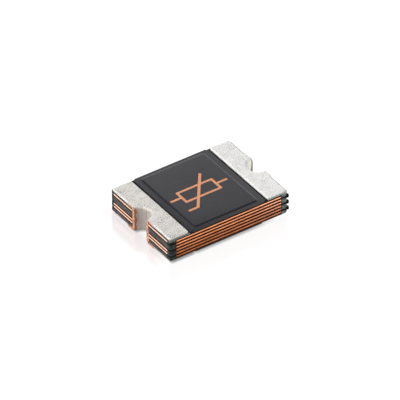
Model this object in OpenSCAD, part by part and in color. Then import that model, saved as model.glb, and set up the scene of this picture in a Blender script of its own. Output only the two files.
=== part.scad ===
// Surface-mount resettable fuse: three conductive polymer sheets in parallel, laminated
// with copper electrode foils and glass-epoxy, and joined by plated half holes at both ends.
// The origin is at the middle of the solder plane, with the length along X and +Z up.

/* [Body] */
// Length over the two sawn ends
body_l = 7.25; // [6.8:0.05:8]
// Width over the two sawn sides
body_w = 5.31; // [4.8:0.01:5.5]
// Corner radius of the glass-epoxy sheets at the left end
left_corner_r = 0.08; // [0.06:0.01:0.2]
// Corner radius of the glass-epoxy sheets at the right end, where the saw wears them back more
right_corner_r = 0.22; // [0.06:0.01:0.24]
// Corner radius of the polymer sheets, which stand a little proud at the corners
polymer_corner_r = 0.04; // [0.02:0.01:0.2]
// Shift of all that is etched, drilled and printed along the length, because the saw ran off centre
pattern_shift = -0.03; // [-0.03:0.01:0.03]

/* [Layers] */
// Thickness of each conductive polymer sheet
polymer_t = 0.1; // [0.06:0.01:0.2]
// Thickness of each electrode foil
foil_t = 0.09; // [0.04:0.01:0.12]
// Thickness of the epoxy between two of the foil-faced polymer sheets
bond_t = 0.1; // [0.06:0.01:0.2]
// Thickness of the epoxy outside the first and last foils
cover_t = 0.1; // [0.06:0.01:0.2]

/* [Electrode foils] */
// Length of the corner that is etched away
foil_corner_l = 0.42; // [0.3:0.01:0.7]
// Width of the corner that is etched away
foil_corner_w = 0.24; // [0.2:0.01:0.5]
// Bare strip at the end that the foil is kept apart from
isolation_l = 0.42; // [0.3:0.01:0.7]
// Bare ring round the half hole that the foil is kept apart from
isolation_ring_w = 0.25; // [0.1:0.01:0.4]

/* [Half holes] */
// Radius of the finished half hole
hole_r = 0.52; // [0.3:0.01:0.65]
// Distance of the hole's axis inside the sawn end
hole_inset = 0.02; // [0:0.01:0.1]
// Copper wall plated in the hole
barrel_t = 0.16; // [0.04:0.01:0.2]
// Radius of the tin where the pads roll down into the hole
rim_r = 0.2; // [0.08:0.01:0.2]

/* [Terminals] */
// Length of the upper pads, from the sawn end
top_pad_l = 1.22; // [1:0.01:1.6]
// Length of the lower pads, from the sawn end
bottom_pad_l = 1.4; // [1:0.01:1.8]
// Margin between a pad and the sawn end
pad_end_margin = 0.045; // [0.04:0.005:0.2]
// Margin between a pad and each sawn side
pad_side_margin = 0.07; // [0.05:0.01:0.3]
// Corner radius of the pads
pad_corner_r = 0.08; // [0.07:0.01:0.3]
// Width of the tab that runs out to the sawn end on both sides of the half hole
tab_w = 2.3; // [1.7:0.05:3]
// Copper thickness of the pads
pad_t = 0.08; // [0.05:0.005:0.12]
// Thickness of the tin on the pads and in the half holes
tin_t = 0.04; // [0.02:0.005:0.06]
// Bevel round the tin's upper edge
tin_bevel = 0.045; // [0.005:0.005:0.05]

/* [Solder mask] */
// Thickness of the mask on the epoxy
mask_t = 0.055; // [0.03:0.005:0.08]
// Gap between the mask and the tin
mask_gap = 0.1; // [0.02:0.01:0.2]
// Corner radius of the mask
mask_corner_r = 0.16; // [0.05:0.01:0.4]
// Thickness of the blank foil under the upper mask
blank_t = 0.04; // [0.02:0.005:0.06]
// Margin of the blank foil from the mask's ends
blank_end_margin = 0.41; // [0.2:0.01:1]
// Margin of the blank foil from the mask's sides
blank_side_margin = 0.27; // [0.2:0.01:1]
// Corner radius of the blank foil
blank_corner_r = 0.1; // [0.05:0.01:0.5]
// Rise of the mask over the blank foil
plateau_rise = 0.04; // [0.01:0.005:0.05]
// Width of the slope where the mask runs down from the blank foil
plateau_slope_w = 0.08; // [0.02:0.01:0.15]

/* [Hidden] */
// The two ends, as signs of X
left = -1;
right = 1;
// Radius of the copper in the half hole, and of the hole as it is drilled
plated_r = hole_r + tin_t;
drill_r = plated_r + barrel_t;
// Height of one polymer sheet with its two foils, and the step from one to the next
chip_t = foil_t + polymer_t + foil_t;
chip_pitch = chip_t + bond_t;
chips = 3;
// Levels from the solder plane up
laminate_z = tin_t + pad_t;
chip_z = laminate_z + cover_t;
top_cover_z = chip_z + chips * chip_pitch - bond_t;
top_face_z = top_cover_z + cover_t;
total_h = top_face_z + pad_t + tin_t;
// The blank foil and the mask over it
top_mask_l = body_l - 2 * (top_pad_l + mask_gap);
bottom_mask_l = body_l - 2 * (bottom_pad_l + mask_gap);
blank_l = top_mask_l - 2 * blank_end_margin;
blank_w = body_w - 2 * blank_side_margin;
// Extra length by which a cutting shape passes what it cuts
pass = 1;
// Colours
copper = "#d98a5c";
tin = "#dedcd7";
polymer = "#2a2a2a";
epoxy = "#5f6a58";
mask = "#45464a";
$fn = 96;
hull_fn = 32;

// Foils are counted from the top, two to a polymer sheet, and sheets from the bottom.
function is_upper(foil) = foil % 2 == 1;
function chip_of(foil) = chips - 1 - floor((foil - 1) / 2);
function foil_z(foil) =
    chip_z + chip_of(foil) * chip_pitch + (is_upper(foil) ? foil_t + polymer_t : 0);
// Neighbouring polymer sheets face each other with foils of one end, so no epoxy carries voltage
function joined_end(foil) = (chip_of(foil) % 2 == 0) == is_upper(foil) ? left : right;

module rounded_rect(l, w, r) {
    square([l - 2 * r, w], center = true);
    square([l, w - 2 * r], center = true);
    for (x = [-1, 1], y = [-1, 1])
        translate([x * (l / 2 - r), y * (w / 2 - r)]) circle(r);
}

module at_hole(end) {
    translate([pattern_shift + end * (body_l / 2 - hole_inset), 0]) children();
}

// Outline of a full sheet, each half with its own corners, with the half holes as they are drilled
module sheet_outline(left_r, right_r) {
    difference() {
        union() {
            half_outline(left, left_r);
            half_outline(right, right_r);
        }
        for (end = [left, right]) at_hole(end) circle(drill_r);
    }
}

module half_outline(end, corner_r) {
    intersection() {
        rounded_rect(body_l, body_w, corner_r);
        translate([end * body_l / 4, 0]) square([body_l / 2, body_w], center = true);
    }
}

// Outline of an electrode foil: it runs out to one end and meets the copper in its half hole,
// and is etched back from the other end, from that end's hole and from the corners
module foil_outline(end) {
    difference() {
        square([body_l, body_w], center = true);
        at_hole(end) circle(drill_r);
        at_hole(-end) circle(drill_r + isolation_ring_w);
        translate([pattern_shift - end * body_l / 2, 0])
            square([2 * isolation_l, body_w + pass], center = true);
        for (side = [-1, 1])
            translate([pattern_shift + end * body_l / 2, side * body_w / 2])
                square([2 * foil_corner_l, 2 * foil_corner_w], center = true);
    }
}

// Epoxy that flows into the etched parts of a foil when the stack is pressed
module foil_fill(foil) {
    translate([0, 0, foil_z(foil)])
        linear_extrude(foil_t)
            difference() {
                sheet_outline(left_corner_r, right_corner_r);
                foil_outline(joined_end(foil));
            }
}

module epoxy_sheet(z, t, foils) {
    color(epoxy) {
        translate([0, 0, z]) linear_extrude(t) sheet_outline(left_corner_r, right_corner_r);
        for (foil = foils) foil_fill(foil);
    }
}

module top_cover_sheet() {
    epoxy_sheet(top_cover_z, cover_t, [1]);
}

module upper_bond_sheet() {
    epoxy_sheet(chip_z + 2 * chip_pitch - bond_t, bond_t, [2, 3]);
}

module lower_bond_sheet() {
    epoxy_sheet(chip_z + chip_pitch - bond_t, bond_t, [4, 5]);
}

module bottom_cover_sheet() {
    epoxy_sheet(laminate_z, cover_t, [6]);
}

module polymer_sheet(chip) {
    color(polymer)
        translate([0, 0, chip_z + chip * chip_pitch + foil_t])
            linear_extrude(polymer_t) sheet_outline(polymer_corner_r, polymer_corner_r);
}

module electrode_foil(foil) {
    color(copper)
        translate([0, 0, foil_z(foil)])
            linear_extrude(foil_t) foil_outline(joined_end(foil));
}

// Outline of a pad, with margin for a coat round it, and the tab out to the sawn end.
// The tab's edge at the sawn end is bare, because the saw cuts it after plating.
module at_pad(end, l) {
    translate([pattern_shift + end * (body_l - l - pad_end_margin) / 2, 0]) children();
}

module tab_outline(end, coat) {
    reach = pad_end_margin - end * pattern_shift + tin_t + pad_corner_r;
    translate([end * (body_l - reach) / 2, 0]) square([reach, tab_w - 2 * coat], center = true);
}

module pad_copper_outline(end, l) {
    at_pad(end, l)
        rounded_rect(l - pad_end_margin - 2 * tin_t, body_w - 2 * (pad_side_margin + tin_t),
                     pad_corner_r - tin_t);
    tab_outline(end, tin_t);
}

// A disc in the half hole, cut off flush with the sawn end
module half_disc(end, r) {
    intersection() {
        at_hole(end) circle(r);
        square([body_l, body_w], center = true);
    }
}

// What is cut away round a bore to roll its upper and lower rims over
module rim_cuts(end, bore_r, low_z, high_z, round_r) {
    at_hole(end) {
        translate([0, 0, high_z]) rim_cut(bore_r, round_r);
        translate([0, 0, low_z]) mirror([0, 0, 1]) rim_cut(bore_r, round_r);
    }
}

module rim_cut(bore_r, round_r) {
    rotate_extrude()
        difference() {
            translate([0, -round_r]) square([bore_r + round_r, round_r + pass]);
            translate([bore_r + round_r, -round_r]) circle(round_r);
        }
}

// One piece of plated copper: upper pad, wall of the half hole and lower pad
module terminal_solid(end) {
    difference() {
        union() {
            translate([0, 0, tin_t]) linear_extrude(pad_t) pad_copper_outline(end, bottom_pad_l);
            translate([0, 0, top_face_z]) linear_extrude(pad_t) pad_copper_outline(end, top_pad_l);
            translate([0, 0, tin_t]) linear_extrude(total_h - 2 * tin_t) half_disc(end, drill_r);
        }
        at_hole(end) cylinder(h = total_h, r = plated_r);
        rim_cuts(end, plated_r, tin_t, total_h - tin_t, rim_r - tin_t);
    }
}

module terminal(end) {
    color(copper) terminal_solid(end);
}

// A pad's outer form with tin all round it, bevelled on the outside
module coated_pad(end, l) {
    t = pad_t + tin_t;
    x = (l - pad_end_margin) / 2 - pad_corner_r;
    y = body_w / 2 - pad_side_margin - pad_corner_r;
    at_pad(end, l)
        hull()
            for (sx = [-1, 1], sy = [-1, 1])
                translate([sx * x, sy * y, 0]) {
                    cylinder(h = t - tin_bevel, r = pad_corner_r, $fn = hull_fn);
                    cylinder(h = t, r = pad_corner_r - tin_bevel, $fn = hull_fn);
                }
    linear_extrude(t) tab_outline(end, 0);
}

module tin_coat(end) {
    color(tin)
        difference() {
            union() {
                translate([0, 0, laminate_z]) mirror([0, 0, 1]) coated_pad(end, bottom_pad_l);
                translate([0, 0, top_face_z]) coated_pad(end, top_pad_l);
                linear_extrude(total_h) half_disc(end, plated_r);
            }
            terminal_solid(end);
            translate([0, 0, -pass]) at_hole(end) cylinder(h = total_h + 2 * pass, r = hole_r);
            rim_cuts(end, hole_r, 0, total_h, rim_r);
        }
}

module top_blank_solid() {
    translate([pattern_shift, 0, top_face_z])
        linear_extrude(blank_t) rounded_rect(blank_l, blank_w, blank_corner_r);
}

module top_blank_foil() {
    color(copper) top_blank_solid();
}

// The mask is level over the epoxy and runs up a slope on to the blank foil
module top_solder_mask() {
    x = blank_l / 2 - blank_corner_r;
    y = blank_w / 2 - blank_corner_r;
    color(mask)
        difference() {
            translate([pattern_shift, 0, top_face_z]) {
                linear_extrude(mask_t) rounded_rect(top_mask_l, body_w, mask_corner_r);
                hull()
                    for (sx = [-1, 1], sy = [-1, 1])
                        translate([sx * x, sy * y, 0]) {
                            cylinder(h = mask_t, r = blank_corner_r + plateau_slope_w, $fn = hull_fn);
                            cylinder(h = mask_t + plateau_rise, r = blank_corner_r, $fn = hull_fn);
                        }
            }
            top_blank_solid();
        }
}

module bottom_solder_mask() {
    color(mask)
        translate([pattern_shift, 0, laminate_z - mask_t])
            linear_extrude(mask_t) rounded_rect(bottom_mask_l, body_w, mask_corner_r);
}

terminal(left);  // left_terminal
terminal(right);  // right_terminal
tin_coat(left);  // left_tin_coat
tin_coat(right);  // right_tin_coat
top_solder_mask();
bottom_solder_mask();
top_blank_foil();
top_cover_sheet();
upper_bond_sheet();
lower_bond_sheet();
bottom_cover_sheet();
polymer_sheet(2);  // top_polymer_sheet
polymer_sheet(1);  // middle_polymer_sheet
polymer_sheet(0);  // bottom_polymer_sheet
for (foil = [1 : 2 * chips])
    electrode_foil(foil);
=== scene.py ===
import math

import bmesh
import bpy
from mathutils import Matrix, Quaternion, Vector, noise


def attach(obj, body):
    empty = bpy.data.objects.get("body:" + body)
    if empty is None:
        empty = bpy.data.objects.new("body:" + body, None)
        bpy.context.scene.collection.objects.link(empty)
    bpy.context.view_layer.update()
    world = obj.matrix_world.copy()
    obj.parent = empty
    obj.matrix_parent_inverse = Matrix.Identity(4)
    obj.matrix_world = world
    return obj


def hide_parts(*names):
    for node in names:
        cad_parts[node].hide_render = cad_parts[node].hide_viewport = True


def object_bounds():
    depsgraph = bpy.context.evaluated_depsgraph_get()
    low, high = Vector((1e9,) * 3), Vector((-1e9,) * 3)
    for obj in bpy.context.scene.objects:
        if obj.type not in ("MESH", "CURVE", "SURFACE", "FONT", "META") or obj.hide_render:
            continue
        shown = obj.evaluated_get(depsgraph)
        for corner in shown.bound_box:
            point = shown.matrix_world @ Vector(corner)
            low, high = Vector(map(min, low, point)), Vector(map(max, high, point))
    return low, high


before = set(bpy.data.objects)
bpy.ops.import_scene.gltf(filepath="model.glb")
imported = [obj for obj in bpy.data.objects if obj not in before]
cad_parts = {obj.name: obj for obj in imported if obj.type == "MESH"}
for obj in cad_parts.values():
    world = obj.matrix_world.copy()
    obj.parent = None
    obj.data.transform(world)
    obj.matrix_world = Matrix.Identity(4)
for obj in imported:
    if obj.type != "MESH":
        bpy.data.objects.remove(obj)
cad_low, cad_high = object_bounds()

# Conductive polymer sheets
# Three sheets of carbon-filled polymer, the layers that shut off the current when they warm.
# They are pressed between copper foils, and the saw drags copper dust over their black edges.
mm = 0.001
per_mm = 1000
body_l, body_w, body_h = (cad_high - cad_low) / mm
merge_distance = 1e-4
flat_angle = math.radians(0.5)
sawn_tolerance = 0.003
sawn_square = 0.99
place_digits = 4
noise_seed = 1
drag_noise = 4
drag_noise_rise = 3
fine_noise = 4.3
broad_drag = 0.6
fine_drag = 0.5
rim_drag = 0.45
least_drag = 0.1
fine_wander = 0.7
wander_along = 0.4
tone_run = 3.0
rough_spread = 0.3
sawn_facing = (0.7, 0.95)
foil_reach_left = 3.235
foil_reach_right = 3.175
foil_reach_y = 2.415
foil_fade = 0.1
lowest_foil_z = 0.22
polymer_step = 0.09
polymer_drag = 0.004
polymer_streak = (1.5, 1.5, 30)
polymer_rough = 0.40
polymer_relief = 0.008
tip_reach = 0.26
tip_rings = (1, 0.6, 0.3)
tip_fall = 0.7
tip_swell = 0.8
tip_push = 0.04
tip_sideways = 0.5
corner_recess = 0.05
polymer_black = (0.017, 0.016, 0.017, 1)
polymer_brown = (0.050, 0.028, 0.020, 1)
copper_dust = (0.085, 0.022, 0.006, 1)
dust_shade = (0.030, 0.010, 0.005, 1)
dust_streak = (1.2, 1.2, 14)
dust_contrast = (0.25, 0.75)
dust_foot = 0.12
dust_top = 1.33
dust_edge = 0.03
dust_tilt = 0.04


class Wire:
    """A shader socket. Sums and products of wires add the Math nodes they stand for."""

    def __init__(self, tree, socket=None):
        self.tree = tree
        self.socket = socket

    def feed(self, socket, value):
        if isinstance(value, Wire):
            self.tree.links.new(value.socket, socket)
        else:
            socket.default_value = value

    def node(self, kind, settings, inputs, output=0):
        made = self.tree.nodes.new("ShaderNode" + kind)
        for name, value in settings.items():
            setattr(made, name, value)
        for name, value in inputs.items():
            self.feed(made.inputs[name], value)
        return Wire(self.tree, made.outputs[output])

    def math(self, operation, first, second=0.0):
        return self.node("Math", {"operation": operation}, {0: first, 1: second})

    def __add__(self, other):
        return self.math("ADD", self, other)

    def __sub__(self, other):
        return self.math("SUBTRACT", self, other)

    def __rsub__(self, other):
        return self.math("SUBTRACT", other, self)

    def __mul__(self, other):
        return self.math("MULTIPLY", self, other)

    def __pow__(self, other):
        return self.math("POWER", self, other)

    def __abs__(self):
        return self.math("ABSOLUTE", self)

    __radd__ = __add__
    __rmul__ = __mul__


def new_finish(name):
    """A material with its Principled shader, a wire to build on, and the place in millimetres."""
    made = bpy.data.materials.new(name)
    made.use_nodes = True
    wire = Wire(made.node_tree)
    place = wire.node("TexCoord", {}, {}, "Object")
    place = wire.node("VectorMath", {"operation": "SCALE"}, {0: place, "Scale": per_mm})
    return made, made.node_tree.nodes["Principled BSDF"], wire, place


def dress(shader, wire, **sockets):
    """Sets the shader's sockets, named with underlines for spaces, to values or wires."""
    for name, value in sockets.items():
        wire.feed(shader.inputs[name.replace("_", " ").title().replace("Ior", "IOR")], value)


def ramp(value, low, high):
    """0 below low and 1 above high, with a smooth step between them."""
    settings = {"interpolation_type": "SMOOTHSTEP"}
    return value.node("MapRange", settings, {"Value": value, "From Min": low, "From Max": high})


def tint(amount, first, second):
    """A colour that runs from the first to the second as the amount goes from 0 to 1."""
    settings = {"data_type": "RGBA", "clamp_factor": True}
    return amount.node("Mix", settings, {0: amount, 6: first, 7: second}, 2)


def grain(place, scale, detail=2.0, rough=0.5):
    """Noise at so many grains to the millimetre."""
    inputs = {"Vector": place, "Scale": scale, "Detail": detail, "Roughness": rough}
    return place.node("TexNoise", {}, inputs)


def streaked(place, stretch, detail=3.0, rough=0.6):
    """Noise on the place with each axis stretched, so that it runs in streaks."""
    stretched = place.node("VectorMath", {"operation": "MULTIPLY"}, {0: place, 1: stretch})
    return grain(stretched, 1.0, detail, rough)


def relief(height, depth):
    """A bump whose height of 1 stands so many millimetres proud."""
    return height.node("Bump", {}, {"Height": height, "Distance": depth * mm, "Strength": 1.0})


def axis_parts(vector):
    return [vector.node("SeparateXYZ", {}, {0: vector}, axis) for axis in range(3)]


def facing(wire):
    """How squarely the surface faces along each axis, from 0 to 1."""
    return [abs(part) for part in axis_parts(wire.node("NewGeometry", {}, {}, "Normal"))]


def left_to_right(x):
    """0 at the left end of the part and 1 at the right, where tones change along it."""
    return ramp(x, -tone_run, tone_run)


def dusted(wire, place, ground):
    """A ground colour with copper dust that the saw drags along the long sides, as far as the foils run."""
    x, _, z = axis_parts(place)
    streaks = ramp(streaked(place, dust_streak, detail=4.0), *dust_contrast)
    from_left = ramp(x, -foil_reach_left - foil_fade, -foil_reach_left)
    to_right = 1 - ramp(x, foil_reach_right, foil_reach_right + foil_fade)
    under_face = 1 - ramp(z - dust_tilt * left_to_right(x), dust_top - dust_edge, dust_top)
    on_side = ramp(facing(wire)[1], *sawn_facing)
    # Below the lowest foil the dust takes its darker tone, so the long sides are darker towards the bottom.
    dust = tint(streaks * ramp(z, dust_foot, lowest_foil_z), dust_shade, copper_dust)
    return tint(on_side * from_left * to_right * under_face, ground, dust)


def on_end(wire, place):
    """1 on the sawn ends as far across as the foils run, and 0 at the corners and on all else."""
    across = abs(axis_parts(place)[1])
    return ramp(facing(wire)[0], *sawn_facing) * (1 - ramp(across, foil_reach_y - foil_fade, foil_reach_y))


def copy_of(node, name):
    """A CAD node's mesh as a new object, in millimetres, with its triangles merged to flat faces."""
    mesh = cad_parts[node].data.copy()
    mesh.transform(Matrix.Scale(per_mm, 4))
    piece = bpy.data.objects.new(name, mesh)
    bpy.context.scene.collection.objects.link(piece)
    bpy.ops.object.select_all(action="DESELECT")
    piece.select_set(True)
    bpy.context.view_layer.objects.active = piece
    bpy.ops.object.mode_set(mode="EDIT")
    bpy.ops.mesh.select_all(action="SELECT")
    bpy.ops.mesh.customdata_custom_splitnormals_clear()
    bpy.ops.mesh.remove_doubles(threshold=merge_distance)
    bpy.ops.mesh.dissolve_limited(angle_limit=flat_angle)
    bpy.ops.mesh.normals_make_consistent(inside=False)
    bpy.ops.object.mode_set(mode="OBJECT")
    return piece


def cut_across(mesh, faces, direction, stations):
    """Cuts faces, and only those, by planes across a direction, and returns the smaller faces."""
    parts = list(dict.fromkeys(part for face in faces for part in (face, *face.edges, *face.verts)))
    for station in stations:
        cut = bmesh.ops.bisect_plane(mesh, geom=parts, dist=merge_distance, plane_co=direction * station,
                                     plane_no=direction)
        parts = cut["geom"]
    return [part for part in parts if isinstance(part, bmesh.types.BMFace)]


def stations_between(low, high, step):
    count = max(1, round((high - low) / step))
    return [low + (high - low) * place / count for place in range(1, count)]


def rounded(spot):
    return tuple(round(part, place_digits) for part in spot)


def saw(piece, step, rise_step, drag, wander):
    """Pulls each sawn face of a piece out unevenly, as the saw leaves it, in lengths of one step."""
    half = Vector((body_l / 2, body_w / 2, 0))
    bpy.ops.object.mode_set(mode="EDIT")
    bpy.ops.mesh.select_mode(type="FACE")
    heights = [corner.z for corner in (Vector(c) for c in piece.bound_box)]
    for axis in (0, 1):
        for side in (-1, 1):
            bpy.ops.mesh.select_all(action="DESELECT")
            mesh = bmesh.from_edit_mesh(piece.data)
            faces = [f for f in mesh.faces if f.normal[axis] * side > sawn_square
                     and abs(f.calc_center_median()[axis] * side - half[axis]) < sawn_tolerance]
            if not faces:
                continue
            along = Vector((axis, 1 - axis, 0))
            faces = cut_across(mesh, faces, along, stations_between(-half[1 - axis], half[1 - axis], step))
            faces = cut_across(mesh, faces, Vector((0, 0, 1)),
                               stations_between(min(heights), max(heights), rise_step))
            for face in faces:
                face.select = True
            rim = {v for f in faces for e in f.edges for v in e.verts
                   if any(other not in faces for other in e.link_faces)}
            rim_places = {rounded(vertex.co) for vertex in rim}
            bmesh.update_edit_mesh(piece.data)
            bpy.ops.mesh.extrude_region_move()
            mesh = bmesh.from_edit_mesh(piece.data)
            for vertex in [v for v in mesh.verts if v.select]:
                share = rim_drag if rounded(vertex.co) in rim_places else 1
                spot = Vector((vertex.co.x, vertex.co.y, vertex.co.z * drag_noise_rise)) * drag_noise
                broad = noise.noise_vector(spot)
                fine = noise.noise_vector(spot * fine_noise)
                pull = drag * share * (1 + broad_drag * broad.x + fine_drag * fine.x)
                vertex.co[axis] += side * max(pull, least_drag * drag)
                vertex.co.z += wander * (broad.z + fine_wander * fine.z)
                vertex.co[1 - axis] += wander * wander_along * broad.y
            bmesh.update_edit_mesh(piece.data)
    bpy.ops.object.mode_set(mode="OBJECT")


def smooth(piece, degrees):
    bpy.ops.object.select_all(action="DESELECT")
    piece.select_set(True)
    bpy.context.view_layer.objects.active = piece
    bpy.ops.object.shade_smooth_by_angle(angle=math.radians(degrees), keep_sharp_edges=False)


def in_place(piece, material, slot, *nodes):
    """Shrinks a finished piece from millimetres to metres and sets it on the body for its nodes."""
    piece.data.transform(Matrix.Scale(mm, 4))
    piece.data.materials.clear()
    piece.data.materials.append(material)
    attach(piece, "root")
    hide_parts(*nodes)


noise.seed_set(noise_seed)
polymer, shader, wire, place = new_finish("polymer_sawn")
saw_marks = streaked(place, polymer_streak, detail=4.0)
dress(shader, wire,
      base_color=dusted(wire, place, tint(on_end(wire, place), polymer_black, polymer_brown)),
      roughness=polymer_rough + rough_spread * saw_marks,
      specular_ior_level=0.0,
      normal=relief(saw_marks, polymer_relief))


def shape_corners(sheet):
    """Squeezes warm polymer out into tips at the right end's corners, and draws it in at the left end's."""
    middle = sum(vertex.co.z for vertex in sheet.data.vertices) / len(sheet.data.vertices)
    bpy.ops.object.mode_set(mode="EDIT")
    mesh = bmesh.from_edit_mesh(sheet.data)
    for end, push, swell in ((1, tip_push, tip_swell), (-1, -corner_recess, 0)):
        rings = [1 - share * tip_reach / (body_l / 2) for share in tip_rings]
        cut_across(mesh, mesh.faces[:], Vector((1, 0, 0)), [end * ring * body_l / 2 for ring in rings])
        for side in (-1, 1):
            near = [f for f in mesh.faces if f.calc_center_median().x * end > body_l / 2 - tip_reach]
            cut_across(mesh, near, Vector((0, 1, 0)),
                       [side * (body_w / 2 - share * tip_reach) for share in tip_rings])
            for vertex in mesh.verts:
                away = Vector((vertex.co.x - end * body_l / 2, vertex.co.y - side * body_w / 2))
                amount = max(0, 1 - away.length / tip_reach) ** tip_fall
                vertex.co.z += (vertex.co.z - middle) * swell * amount
                vertex.co.x += end * push * amount
                vertex.co.y += side * push * amount * tip_sideways
    bmesh.update_edit_mesh(sheet.data)
    bpy.ops.object.mode_set(mode="OBJECT")


for level in ("top", "middle", "bottom"):
    node = f"{level}_polymer_sheet"
    sheet = copy_of(node, f"{level}_polymer")
    saw(sheet, polymer_step, polymer_step, polymer_drag, wander=0)
    shape_corners(sheet)
    smooth(sheet, degrees=40)
    in_place(sheet, polymer, "conductive_polymer", node)

# Electrode foils
# Six foils of rolled copper, one on each face of each polymer sheet, etched to their outline.
# The saw cuts them with the whole stack, so their edges are dragged and stand a little proud.
foil_count = 6
foil_step = 0.06
foil_rise_step = 0.03
foil_drag = 0.014
foil_wander = 0.005
# copper_end_highlight is the same copper painted lighter, a painted highlight on the lit end faces.
copper_end_highlight = (1.0, 0.67, 0.50, 1)
copper_side = (0.88, 0.36, 0.165, 1)
copper_pink = (0.97, 0.47, 0.29, 1)
# copper_dull_and_shade is dull copper for the random streaks, and also painted shade on the sides.
copper_dull_and_shade = (0.22, 0.052, 0.015, 1)
copper_rough = 0.32
copper_relief = 0.008
copper_facing = (0.5, 0.9)
copper_streak = (0.9, 0.9, 26)
copper_patch = (2.2, 2.2, 5)
pink_x = (0.5, 3.0)
low_down_shade_z = (0.2, 1.3)
foil_pitch = 0.19
under_edge_shade_rise = (0.13, 0.28)
dull_streaks = 0.40
dull_contrast = (0.50, 0.66)
low_down_shade_share = 0.6
under_edge_shade_share = 0.85

copper, shader, wire, place = new_finish("copper_sawn")
streak = streaked(place, copper_streak, detail=5.0, rough=0.65)
patch = streaked(place, copper_patch)
x, _, z = axis_parts(place)
# The ends take the lighter copy of the copper as a painted highlight; the sides run lighter and pinker
# towards the right end.
bright = tint(ramp(x, *pink_x), copper_side, copper_pink)
bright = tint(ramp(facing(wire)[0], *copper_facing), bright, copper_end_highlight)
# On the sides the copper is painted into shade towards the bottom and along the lower edge of each foil;
# the dull streaks and patches differ at random.
low_down_shade = 1 - ramp(z, *low_down_shade_z)
on_side = ramp(facing(wire)[1], *copper_facing)
up_foil = wire.math("FRACT", (z - lowest_foil_z) * (1 / foil_pitch))
under_edge_shade = 1 - ramp(up_foil, *under_edge_shade_rise)
dull_and_shade = ramp(streak * 0.6 + patch * 0.4, *dull_contrast) * dull_streaks
dull_and_shade = dull_and_shade + on_side * (low_down_shade * low_down_shade_share + under_edge_shade * under_edge_shade_share)
dress(shader, wire,
      base_color=tint(dull_and_shade, bright, copper_dull_and_shade),
      metallic=1.0,
      roughness=copper_rough + rough_spread * streak,
      normal=relief(streak, copper_relief))
for number in range(1, foil_count + 1):
    node = f"electrode_foil_{number}"
    foil = copy_of(node, f"sawn_foil_{number}")
    saw(foil, foil_step, foil_rise_step, foil_drag, foil_wander)
    smooth(foil, degrees=60)
    in_place(foil, copper, "foil_copper", node)

# Glass-epoxy sheets
# Glass cloth in epoxy, two sheets between the polymer sheets and one outside on each face.
# Pressed hot, their resin fills the etched parts of the foils; the sawn corners show it grey green.
epoxy_step = 0.09
epoxy_drag = 0.003
highest_foil_z = 1.26
edge_rise = 0.02
edge_inset = (0.11, 0.09)
pad_inner_x = 2.41
pad_fade = 0.05
left_pair_z = 0.55
right_pair_z = 0.93
pair_half_h = (0.04, 0.06)
pair_change_x = 0.5
# The corner tones go from dark at the left end to pale at the right as painted light, each with a darker
# copy in its hollows as painted shade.
epoxy_pale = (0.31, 0.355, 0.325, 1)
epoxy_green = (0.17, 0.205, 0.185, 1)
epoxy_blue = (0.070, 0.088, 0.084, 1)
epoxy_dark = (0.012, 0.015, 0.015, 1)
epoxy_face = (0.066, 0.062, 0.062, 1)
epoxy_worn = (0.145, 0.140, 0.136, 1)
epoxy_rough = 0.40
epoxy_relief = 0.01
fibre_streak = (3, 3, 18)
cut_streak = (4, 4, 7)
corner_contrast = (0.36, 0.62)
worn_contrast = (0.35, 0.7)
flat_facing = (0.8, 0.95)

epoxy, shader, wire, place = new_finish("glass_epoxy_sawn")
fibres = streaked(place, fibre_streak)
rough_cut = streaked(place, cut_streak)
x, y, z = axis_parts(place)
# The sawn corners are painted lighter towards the right end, where more light falls, and their rough
# hollows darker, as painted shade.
to_right = left_to_right(x)
shaded_hollow = tint(to_right, epoxy_dark, epoxy_blue)
corner = tint(to_right, epoxy_blue, epoxy_pale)
corner = tint(ramp(fibres * 0.4 + rough_cut * 0.6, *corner_contrast), shaded_hollow, corner)
edge = ramp(abs(y), *(body_w / 2 - inset for inset in edge_inset))
edge = edge * ramp(z, highest_foil_z, highest_foil_z + edge_rise)
beside_pad = ramp(abs(x), pad_inner_x - pad_fade, pad_inner_x)
corner = tint(edge * beside_pad, corner, tint(to_right, epoxy_green, epoxy_pale))
# Flat faces, mostly hidden between the sheets, are darkened, and so is the top margin of the long sides
# between the pads; on the floors of the gaps beside the pads the dark is painted shade.
lying_flat = ramp(facing(wire)[2], *flat_facing)
darkened_flats_and_margin = wire.math("MAXIMUM", edge * (1 - beside_pad), lying_flat * (1 - edge))
corner = tint(darkened_flats_and_margin, corner, epoxy_dark)
face = tint(ramp(rough_cut, *worn_contrast), epoxy_face, epoxy_worn)
right_half = ramp(x, -pair_change_x, pair_change_x)
left_pair = (1 - right_half) * (1 - ramp(abs(z - left_pair_z), *pair_half_h))
right_pair = right_half * (1 - ramp(abs(z - right_pair_z), *pair_half_h))
face = tint(wire.math("MAXIMUM", left_pair, right_pair), face, copper_dust)
ground = tint(on_end(wire, place), corner, face)
dress(shader, wire,
      base_color=dusted(wire, place, ground),
      roughness=epoxy_rough + rough_spread * fibres,
      specular_ior_level=0.05,
      normal=relief(fibres, epoxy_relief))
for name in ("top_cover", "upper_bond", "lower_bond", "bottom_cover"):
    node = f"{name}_sheet"
    sheet = copy_of(node, f"{name}_epoxy")
    saw(sheet, epoxy_step, epoxy_step, epoxy_drag, wander=0)
    smooth(sheet, degrees=40)
    in_place(sheet, epoxy, "glass_epoxy", node)

# Terminals
# Copper plated over both faces and down the drilled holes in one go, before the saw halves the holes.
# Only its sawn edges show: the half hole's wall, and the tabs above and below it.
terminal_step = 0.04
terminal_drag = 0.012
terminal_wander = 0.010
plated_bright = (0.86, 0.45, 0.28, 1)
plated_dark = (0.24, 0.09, 0.042, 1)
plated_rough = 0.35
plated_relief = 0.02
mottle_scale = 9
mottle_contrast = (0.42, 0.68)

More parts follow.
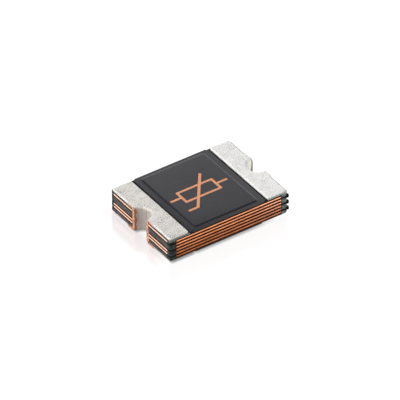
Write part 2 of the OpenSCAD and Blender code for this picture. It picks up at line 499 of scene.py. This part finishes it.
plated, shader, wire, place = new_finish("copper_plated_sawn")
mottle = grain(place, mottle_scale, detail=4.0, rough=0.65)
dress(shader, wire,
      base_color=tint(ramp(mottle, *mottle_contrast), plated_bright, plated_dark),
      metallic=1.0,
      roughness=plated_rough + rough_spread * mottle,
      normal=relief(mottle, plated_relief))
for end in ("left", "right"):
    node = f"{end}_terminal"
    terminal = copy_of(node, f"{end}_plated_copper")
    saw(terminal, terminal_step, terminal_step, terminal_drag, terminal_wander)
    smooth(terminal, degrees=50)
    in_place(terminal, plated, "terminal_copper", node)

# Tin coats
# Matte tin plated over the terminals, on the pads' faces and edges and down the half holes.
# Its edges are soft, its surface is grainy, and the saw smears copper into the mouth of the left hole; a
# grey-brown band runs along the mouth of the right one.
tin_step = 0.11
tin_swell = 0.006
tin_edge_wander = 0.007
tin_noise = 1.7
tin_fine_noise = 3.1
tin_fine_wander = 0.6
tin_fine_swell = 0.5
tin_round = 0.018
tin_rough = 0.50
tin_rough_spread = 0.2
tin_relief = 0.006
tin_scale = 19
blotch_scale = 2.2
tin_contrast = (0.34, 0.54)
wall_contrast = (0.36, 0.62)
drip_streak = (7, 7, 0.9)
ragged_streak = (1, 1, 4)
right_half_x = 1.0
hole_shift = -0.03
hole_axis_x = 3.605
hole_wall_r = 0.74
hole_fade = 0.06
steep_low = 0.40
steep_high = 1.0
steep_low_right = 0.25
steep_high_right = 0.3
steep_bias_right = 0.27
lit_wall_share = 0.6
lit_wall_y = 0.25
smear_x = 3.515
left_smear = (0.08, 0.13)
left_ragged = 0.2
right_smear = (-0.06, 0.03)
right_ragged = 0.06
right_lean = 0.07
right_lean_z = (0.6, 1.3)
right_strength = 0.85
cut_facing = (0.6, 0.9)
cut_inset = (0.012, 0.004)
cut_z = (0.15, 0.3)
# The pad tones are lit and shaded copies of one tin: each grain tone is painted in shade at the left end
# and lit at the right.
tin_grain_lit_right = (1.0, 0.99, 0.965, 1)
tin_grain_shaded_left = (0.89, 0.858, 0.812, 1)
tin_pit_lit_right = (0.57, 0.55, 0.52, 1)
tin_pit_shaded_left = (0.40, 0.372, 0.335, 1)
# The hole walls are the same tin, painted into shade in the left hole and with a painted highlight in the
# right one.
tin_wall_shade = (0.50, 0.445, 0.395, 1)
tin_wall_deep_shade = (0.34, 0.300, 0.262, 1)
tin_wall_highlight = (0.98, 0.945, 0.87, 1)
smear_brown = (0.34, 0.15, 0.075, 1)
right_end_grey = (0.21, 0.155, 0.125, 1)


def cut_grid(piece, step):
    """Cuts a whole piece into lengths along X and Y, so that it can be bent."""
    low, high = Vector(piece.bound_box[0]), Vector(piece.bound_box[6])
    bpy.ops.object.mode_set(mode="EDIT")
    mesh = bmesh.from_edit_mesh(piece.data)
    for direction in (Vector((1, 0, 0)), Vector((0, 1, 0))):
        cut_across(mesh, mesh.faces[:], direction,
                   stations_between(low.dot(direction), high.dot(direction), step))
    bmesh.update_edit_mesh(piece.data)
    bpy.ops.object.mode_set(mode="OBJECT")


def soften(piece, width, segments, degrees):
    """Rounds each edge sharper than an angle."""
    bevel = piece.modifiers.new("round", "BEVEL")
    bevel.width = width
    bevel.segments = segments
    bevel.limit_method = "ANGLE"
    bevel.angle_limit = math.radians(degrees)
    bpy.context.view_layer.objects.active = piece
    bpy.ops.object.modifier_apply(modifier=bevel.name)


tin, shader, wire, place = new_finish("tin_matte")
fine = grain(place, tin_scale, rough=0.6)
blotch = grain(place, blotch_scale, rough=0.6)
drips = streaked(place, drip_streak, detail=2.0, rough=0.5)
ragged = streaked(place, ragged_streak)
x, y, z = axis_parts(place)
to_right = left_to_right(x)
at_right = ramp(x, -right_half_x, right_half_x)
hole_r = ((abs(x - hole_shift) - hole_axis_x) ** 2.0 + y ** 2.0) ** 0.5
# Steep tin in a hole takes the wall's painted colours: shade on the left hole's wall and rim, less on its
# lit side, and a highlight on the right hole's wall and rim.
steep = 1 - ramp(facing(wire)[2] - steep_bias_right * at_right,
                 steep_low - steep_low_right * at_right,
                 steep_high - steep_high_right * at_right)
in_hole = (1 - ramp(hole_r, hole_wall_r - hole_fade, hole_wall_r)) * steep
in_hole = in_hole * (1 - lit_wall_share * (1 - at_right) * ramp(0 - y, -lit_wall_y, lit_wall_y))
left_mouth = ramp(ragged * left_ragged - x, *(smear_x + shift for shift in left_smear))
lean = right_lean * ramp(z, *right_lean_z)
# At the right hole a grey-brown band runs along the mouth, narrower towards the top.
right_mouth = ramp(ragged * right_ragged + x - lean, *(smear_x + shift for shift in right_smear))
mouth = in_hole * (left_mouth + right_mouth * right_strength)
cut = ramp(facing(wire)[0], *cut_facing) * ramp(abs(x), *(body_l / 2 - inset for inset in cut_inset))
cut = cut * (1 - ramp(z, *cut_z))
smear_and_mouth_band = wire.math("MAXIMUM", mouth, cut)
# The grain runs between a dark and a light tone, and both are painted lighter towards the right end, as
# painted light.
pits_shaded_to_lit = tint(to_right, tin_pit_shaded_left, tin_pit_lit_right)
grain_shaded_to_lit = tint(to_right, tin_grain_shaded_left, tin_grain_lit_right)
face_tin = tint(ramp(fine * 0.8 + blotch * 0.2, *tin_contrast), pits_shaded_to_lit, grain_shaded_to_lit)
wall_tin_shade_and_highlight = tint(ramp(drips * 0.55 + fine * 0.45, *wall_contrast), tin_wall_deep_shade, tin_wall_shade)
wall_tin_shade_and_highlight = tint(at_right, wall_tin_shade_and_highlight, tin_wall_highlight)
dress(shader, wire,
      base_color=tint(smear_and_mouth_band, tint(in_hole, face_tin, wall_tin_shade_and_highlight), tint(at_right, smear_brown, right_end_grey)),
      metallic=0.5,
      roughness=tin_rough + tin_rough_spread * fine,
      normal=relief(fine, tin_relief))
for end in ("left", "right"):
    node = f"{end}_tin_coat"
    coat = copy_of(node, f"{end}_tin")
    soften(coat, tin_round, segments=3, degrees=35)
    cut_grid(coat, tin_step)
    for vertex in coat.data.vertices:
        spot = vertex.co * tin_noise
        broad = noise.noise_vector(spot)
        fine_shift = noise.noise_vector(spot * tin_fine_noise)
        if abs(vertex.co.x) < body_l / 2 - sawn_tolerance:
            vertex.co.y += tin_edge_wander * (broad.y + tin_fine_wander * fine_shift.y)
            vertex.co.x += tin_edge_wander * (broad.x + tin_fine_wander * fine_shift.x)
        if vertex.co.z > body_h / 2:
            vertex.co.z += tin_swell * (broad.z + tin_fine_swell * fine_shift.z)
    smooth(coat, degrees=45)
    in_place(coat, tin, "tin", node)

# Blank foil
# An island of copper left under the upper mask, joined to nothing, with a fuse's circuit sign on it.
# The strokes of the sign stand up from the foil through openings in the mask, just short of its face.
sign_x = -0.08
sign_y = -0.05
stroke_w = 0.15
stroke_sides = 22
box_l = 2.1
box_w = 0.86
lead_l = 0.62
slash_x = 0.82
slash_y = 1.12
foot_l = 0.50
foil_top = 1.40
plateau_top = 1.455
sign_sunk = 0.006
sign_root = 0.01
bared_bright = (0.93, 0.46, 0.255, 1)
bared_dark = (0.70, 0.27, 0.125, 1)
bared_rough = 0.42
bared_rough_spread = 0.2
bared_relief = 0.006
speckle_scale = 16
speckle_contrast = (0.40, 0.72)


def stroke(start, stop, width, low, high):
    """A bar with round ends from one point of the sign to another."""
    run = Vector(stop) - Vector(start)
    bpy.ops.object.select_all(action="DESELECT")
    bpy.ops.mesh.primitive_cylinder_add(vertices=stroke_sides, radius=width / 2, depth=high - low)
    bar = bpy.context.object
    bpy.ops.object.mode_set(mode="EDIT")
    bpy.ops.mesh.select_mode(type="VERT")
    bpy.ops.mesh.select_all(action="DESELECT")
    mesh = bmesh.from_edit_mesh(bar.data)
    for vertex in mesh.verts:
        vertex.select = vertex.co.x > 0
    bmesh.update_edit_mesh(bar.data)
    bpy.ops.transform.translate(value=(run.length, 0, 0))
    bpy.ops.object.mode_set(mode="OBJECT")
    bar.rotation_euler.z = math.atan2(run.y, run.x)
    bar.location = (sign_x + start[0], sign_y + start[1], (low + high) / 2)
    bpy.ops.object.transform_apply(location=True, rotation=True, scale=True)
    return bar


def combine(piece, other, operation):
    """Joins another solid to a piece, or takes it away, and clears it up."""
    step = piece.modifiers.new("combine", "BOOLEAN")
    step.operation = operation
    step.solver = "EXACT"
    step.object = other
    bpy.context.view_layer.objects.active = piece
    bpy.ops.object.modifier_apply(modifier=step.name)
    bpy.data.objects.remove(other)


def sign(width, low, high):
    """The circuit sign: a box with two leads, and a slash with a foot."""
    half_l, half_w = box_l / 2, box_w / 2
    lines = [((-half_l, -half_w), (half_l, -half_w)), ((half_l, -half_w), (half_l, half_w)),
             ((half_l, half_w), (-half_l, half_w)), ((-half_l, half_w), (-half_l, -half_w)),
             ((-half_l - lead_l, 0), (-half_l, 0)), ((half_l, 0), (half_l + lead_l, 0)),
             ((-slash_x - foot_l, -slash_y), (-slash_x, -slash_y)),
             ((-slash_x, -slash_y), (slash_x, slash_y))]
    bars = [stroke(start, stop, width, low, high) for start, stop in lines]
    for bar in bars[1:]:
        combine(bars[0], bar, "UNION")
    return bars[0]


bared, shader, wire, place = new_finish("copper_bared")
speckle = grain(place, speckle_scale, detail=3.0, rough=0.65)
dress(shader, wire,
      base_color=tint(ramp(speckle, *speckle_contrast), bared_bright, bared_dark),
      metallic=0.7,
      roughness=bared_rough + bared_rough_spread * speckle,
      normal=relief(speckle, bared_relief))
blank = copy_of("top_blank_foil", "blank_foil")
combine(blank, sign(stroke_w, foil_top - sign_root, plateau_top - sign_sunk), "UNION")
smooth(blank, degrees=30)
in_place(blank, bared, "foil_copper", "top_blank_foil")

# Solder masks
# Black epoxy mask, screened over both faces between the pads and cured to a satin skin.
# The upper one runs up a soft slope on to the blank foil, and is open over the strokes of the sign.
mask_clearance = 0.012
opening_under = 0.02
opening_over = 0.1
shoulder_round = 0.022
end_round = 0.045
mask_round = 0.012
slope_lift = (0.7, 0.99)
level_lift = 0.999
upright_lift = 0.1
mask_black = (0.0112, 0.0112, 0.0160, 1)
mask_grey = (0.0170, 0.0170, 0.0225, 1)
mask_rough = 0.22
mask_rough_spread = 0.10
mask_relief = 0.0025
skin_scale = 14
cloud_scale = 1.2

mask, shader, wire, place = new_finish("solder_mask_black")
skin = grain(place, skin_scale, detail=3.0, rough=0.6)
cloud = grain(place, cloud_scale)
dress(shader, wire,
      base_color=tint(cloud, mask_black, mask_grey),
      roughness=mask_rough + mask_rough_spread * skin,
      specular_ior_level=0.43,
      normal=relief(skin, mask_relief))
upper = copy_of("top_solder_mask", "upper_mask")
bpy.ops.object.mode_set(mode="EDIT")
bpy.ops.mesh.select_mode(type="EDGE")
bpy.ops.mesh.select_all(action="DESELECT")
mesh = bmesh.from_edit_mesh(upper.data)
for edge in mesh.edges:
    lifts = sorted(face.normal.z for face in edge.link_faces)
    edge.select = slope_lift[0] < lifts[0] < slope_lift[1] and lifts[-1] > level_lift
bmesh.update_edit_mesh(upper.data)
bpy.ops.mesh.bevel(offset=shoulder_round, offset_type="OFFSET", segments=3, affect="EDGES")
bpy.ops.mesh.select_all(action="DESELECT")
mesh = bmesh.from_edit_mesh(upper.data)
for edge in mesh.edges:
    lifts = sorted(face.normal.z for face in edge.link_faces)
    at_end = all(abs(vertex.co.y) < body_w / 2 - sawn_tolerance for vertex in edge.verts)
    edge.select = abs(lifts[0]) < upright_lift and lifts[-1] > level_lift and at_end
bmesh.update_edit_mesh(upper.data)
bpy.ops.mesh.bevel(offset=end_round, offset_type="OFFSET", segments=4, affect="EDGES")
bpy.ops.object.mode_set(mode="OBJECT")
opening = sign(stroke_w + 2 * mask_clearance, foil_top - opening_under, plateau_top + opening_over)
combine(upper, opening, "DIFFERENCE")
smooth(upper, degrees=35)
in_place(upper, mask, "solder_mask", "top_solder_mask")
lower = copy_of("bottom_solder_mask", "lower_mask")
soften(lower, mask_round, segments=2, degrees=60)
smooth(lower, degrees=35)
in_place(lower, mask, "solder_mask", "bottom_solder_mask")

# Floor
# A plain white sweep with a slight sheen, which keeps the part's soft shadow, with a painted contact shadow
# in its glow close under the part.
# By the left end a painted shade makes it a little darker and a painted reflection of the copper edges
# makes it warmer.
floor_size = 0.6
floor_white = (0.49, 0.49, 0.495, 1)
floor_seen = (0.096, 0.096, 0.0975, 1)
floor_level = 0.90
floor_unlit = (0, 0, 0, 1)
floor_lit = (1, 1, 1, 1)
floor_rough = 0.14
floor_rough_spread = 0.06
floor_ior = 2.1
sheen_scale = 0.4
end_shade = 0.17
end_painted_reflection = (1, 0.935, 0.945, 1)
end_reach = 1.5
end_under = 0.6
end_middle_y = 0.5
end_across = 1.8
contact_reach = 0.20
contact_samples = 16
contact_side = (-0.82, 0.54, 0.19)
contact_fade_x = (1.0, 3.4)

bpy.ops.object.select_all(action="DESELECT")
bpy.ops.mesh.primitive_plane_add(size=floor_size, location=(0, 0, 0))
floor = bpy.context.object
floor.name = "floor"

paper, shader, wire, place = new_finish("floor_paper")
rays = [wire.node("LightPath", {}, {}, f"Is {kind} Ray") for kind in ("Camera", "Glossy", "Transmission")]
seen = wire.math("MAXIMUM", rays[0], wire.math("MAXIMUM", rays[1], rays[2]))
sheen = grain(place, sheen_scale)
x, y, _ = axis_parts(place)
# Ambient occlusion dims the glow close to the part: a painted contact shadow that fades out towards the
# right.
shaded_side = wire.node("CombineXYZ", {}, dict(enumerate(contact_side)))
around = {"Distance": contact_reach * mm, "Normal": shaded_side}
painted_contact_shadow = wire.node("AmbientOcclusion", {"samples": contact_samples}, around, "AO") ** 2.0
painted_contact_shadow = painted_contact_shadow + (1 - painted_contact_shadow) * ramp(x, *contact_fade_x)
# By the left end the glow is painted darker and pink: a painted shade and a painted reflection of the
# copper edges.
end_x = -body_l / 2
by_end = ramp(x, end_x - end_reach, end_x) * (1 - ramp(x, end_x, end_x + end_under))
by_end = by_end * (1 - ramp(abs(y - end_middle_y), end_across, end_across + end_reach))
glow = floor_level * (1 - end_shade * by_end) * painted_contact_shadow * seen
dress(shader, wire,
      base_color=tint(seen, floor_white, floor_seen),
      roughness=floor_rough + floor_rough_spread * sheen,
      ior=floor_ior,
      emission_color=tint(glow, floor_unlit, tint(by_end, floor_lit, end_painted_reflection)),
      emission_strength=1.0)
floor.data.materials.append(paper)

# Light
# A dim pale room, a bright sweep behind the part, and soft boxes at the left end and the front.
# Each box is a flat lamp that looks at the part, with its width and height in metres.
room_level = 0.27
room_white = (0.94, 0.96, 1.0, 1)

world = bpy.data.worlds.new("studio")
bpy.context.scene.world = world
world.use_nodes = True
sky = world.node_tree.nodes["Background"]
sky.inputs["Color"].default_value = room_white
sky.inputs["Strength"].default_value = room_level


def soft_box(name, place, aim, width, height, power):
    """A rectangular lamp at a place, turned to its aim."""
    lamp = bpy.data.lights.new(name, "AREA")
    lamp.shape = "RECTANGLE"
    lamp.size = width
    lamp.size_y = height
    lamp.energy = power
    box = bpy.data.objects.new(name, lamp)
    box.location = place
    box.rotation_euler = (Vector(place) - Vector(aim)).to_track_quat("Z", "Y").to_euler()
    bpy.context.scene.collection.objects.link(box)


soft_box("back_sweep", place=(0.12, 0.17, 0.085), aim=(0, 0, 0.02), width=0.30, height=0.20, power=0.17)
soft_box("left_soft_box", place=(-0.14, 0.02, 0.12), aim=(0, 0, 0), width=0.24, height=0.20, power=0.41)
soft_box("front_soft_box", place=(0.12, -0.18, 0.07), aim=(0, 0, 0), width=0.10, height=0.10, power=0.14)

# Camera
# The photograph's view, from afar at the left front corner with a long lens.
# Its angles were solved from the part's straight edges; the aim is in millimetres across the view.
azimuth = math.radians(-33.97)
elevation = math.radians(37.23)
roll = math.radians(-0.6)
distance = 0.5
long_lens = 886.6
nearest = 0.01
farthest = 2.0
aim_right = 0.004
aim_up = 0.617

camera = bpy.data.cameras.new("camera")
camera.lens = long_lens
camera.clip_start = nearest
camera.clip_end = farthest
eye = bpy.data.objects.new("camera", camera)
back = Vector((math.sin(azimuth) * math.cos(elevation), -math.cos(azimuth) * math.cos(elevation),
               math.sin(elevation)))
turn = back.to_track_quat("Z", "Y") @ Quaternion((0, 0, 1), roll)
eye.location = turn @ Vector((aim_right * mm, aim_up * mm, 0)) + back * distance
eye.rotation_euler = turn.to_euler()
bpy.context.scene.collection.objects.link(eye)
bpy.context.scene.camera = eye
bpy.context.scene.view_settings.view_transform = "Standard"
